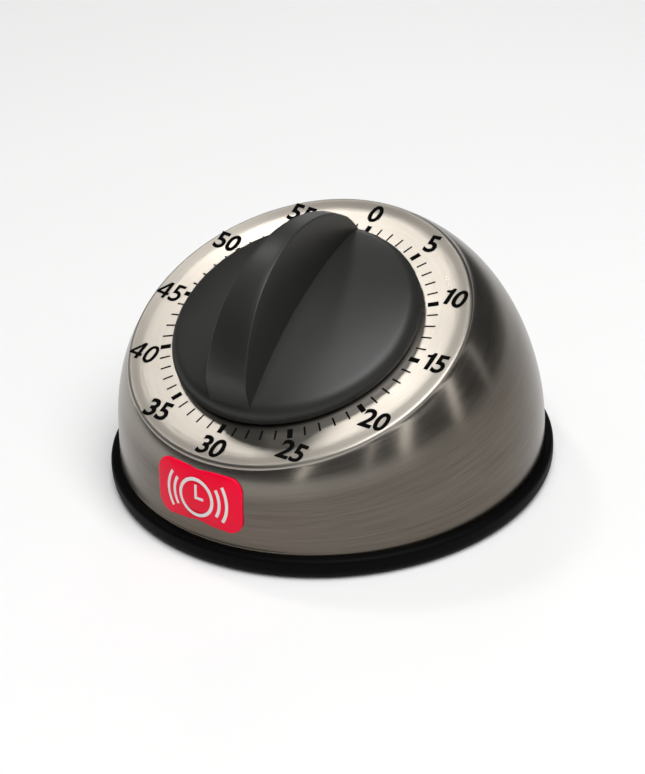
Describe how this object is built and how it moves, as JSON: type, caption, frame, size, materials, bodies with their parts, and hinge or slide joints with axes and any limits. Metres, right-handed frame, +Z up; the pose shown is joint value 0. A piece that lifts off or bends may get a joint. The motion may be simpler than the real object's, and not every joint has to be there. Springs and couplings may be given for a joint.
{
  "type": "kitchen timer",
  "caption": "Mechanical dome kitchen timer: steel case with a tilted dial, rubber foot, and a turning knob that winds a spring movement with a gong.",
  "frame": {"origin": "middle of the rubber foot's underside, on the table", "axes": "+Z up, -Y towards the user, whom the dial tilts towards"},
  "size_m": [0.098, 0.098, 0.0593],
  "materials": {
    "brushed_steel": "satin brushed, fine lines round the body",
    "rubber": "matte",
    "black_plastic": "matte",
    "knob_plastic": "satin charcoal",
    "badge_red": "gloss",
    "nylon": "satin",
    "zinc_steel": "zinc plated",
    "spring_steel": "blued spring steel",
    "brass": "rolled",
    "gong_steel": "nickel plated"
  },
  "bodies": {
    "case": {"steel_housing": "brushed_steel", "rubber_base_ring": "rubber", "base_cover": "black_plastic", "base_screws": "zinc_steel", "badge_plate": "badge_red", "dial_bush": "nylon", "stop_pin": "zinc_steel", "front_plate": "brass", "back_plate": "brass", "plate_pillars": "zinc_steel", "pillar_nuts": "zinc_steel", "movement_screws": "zinc_steel", "movement_spacers": "zinc_steel", "mainspring": "spring_steel", "spring_post": "zinc_steel", "release_stud": "zinc_steel", "hammer_stud": "zinc_steel", "hammer_spring": "spring_steel", "gong": "gong_steel", "gong_stud": "zinc_steel", "gong_screw": "zinc_steel"},
    "knob": {"knob": "knob_plastic", "knob_clip": "spring_steel", "main_arbor": "zinc_steel", "stop_arm": "zinc_steel", "main_wheel": "brass", "clutch_spring": "spring_steel", "clutch_clip": "spring_steel", "arbor_collar": "brass", "release_cam": "nylon"},
    "second": {"second_arbor": "zinc_steel", "second_wheel": "brass"},
    "third": {"third_arbor": "zinc_steel", "third_wheel": "brass"},
    "escape": {"escape_arbor": "zinc_steel", "escape_wheel": "brass"},
    "pallet": {"pallet_arbor": "zinc_steel", "pallet_lever": "zinc_steel", "balance_weight": "brass"},
    "release": {"release_lever": "zinc_steel"},
    "hammer": {"hammer_lever": "zinc_steel", "hammer_head": "brass"}
  },
  "joints": [
    {"name": "knob_turn", "type": "hinge", "parent": "case", "child": "knob", "pos_m": [0, -0.00985, 0.03642], "axis": [0, 0.3811, -0.9245], "range_deg": [0, 353], "deforming": ["mainspring"]},
    {"name": "second_turn", "type": "hinge", "parent": "case", "child": "second", "pos_m": [0.00875, 0.00797, 0.03295], "axis": [0, 0.3811, -0.9245], "continuous": true},
    {"name": "third_turn", "type": "hinge", "parent": "case", "child": "third", "pos_m": [0.01995, 0.00797, 0.03295], "axis": [0, 0.3811, -0.9245], "continuous": true},
    {"name": "escape_turn", "type": "hinge", "parent": "case", "child": "escape", "pos_m": [0.02485, 0.00013, 0.02972], "axis": [0, 0.3811, -0.9245], "continuous": true},
    {"name": "pallet_rock", "type": "hinge", "parent": "case", "child": "pallet", "pos_m": [0.0236, -0.00567, 0.02516], "axis": [0, 0.3811, -0.9245], "range_deg": [-3, 3]},
    {"name": "release_swing", "type": "hinge", "parent": "case", "child": "release", "pos_m": [-0.0093, -0.01376, 0.01967], "axis": [0, -0.3811, 0.9245], "range_deg": [0, 6]},
    {"name": "hammer_swing", "type": "hinge", "parent": "case", "child": "hammer", "pos_m": [0.004, -0.00962, 0.01488], "axis": [0, 0.3811, -0.9245], "range_deg": [0, 12], "stiffness_Nm_per_rad": 0.0008, "springref_deg": -17.19, "deforming": ["hammer_spring"]}
  ],
  "couplings": [
    {"joint": "second_turn", "follows": "knob_turn", "ratio": -6},
    {"joint": "third_turn", "follows": "knob_turn", "ratio": 36},
    {"joint": "escape_turn", "follows": "knob_turn", "ratio": -216}
  ]
}
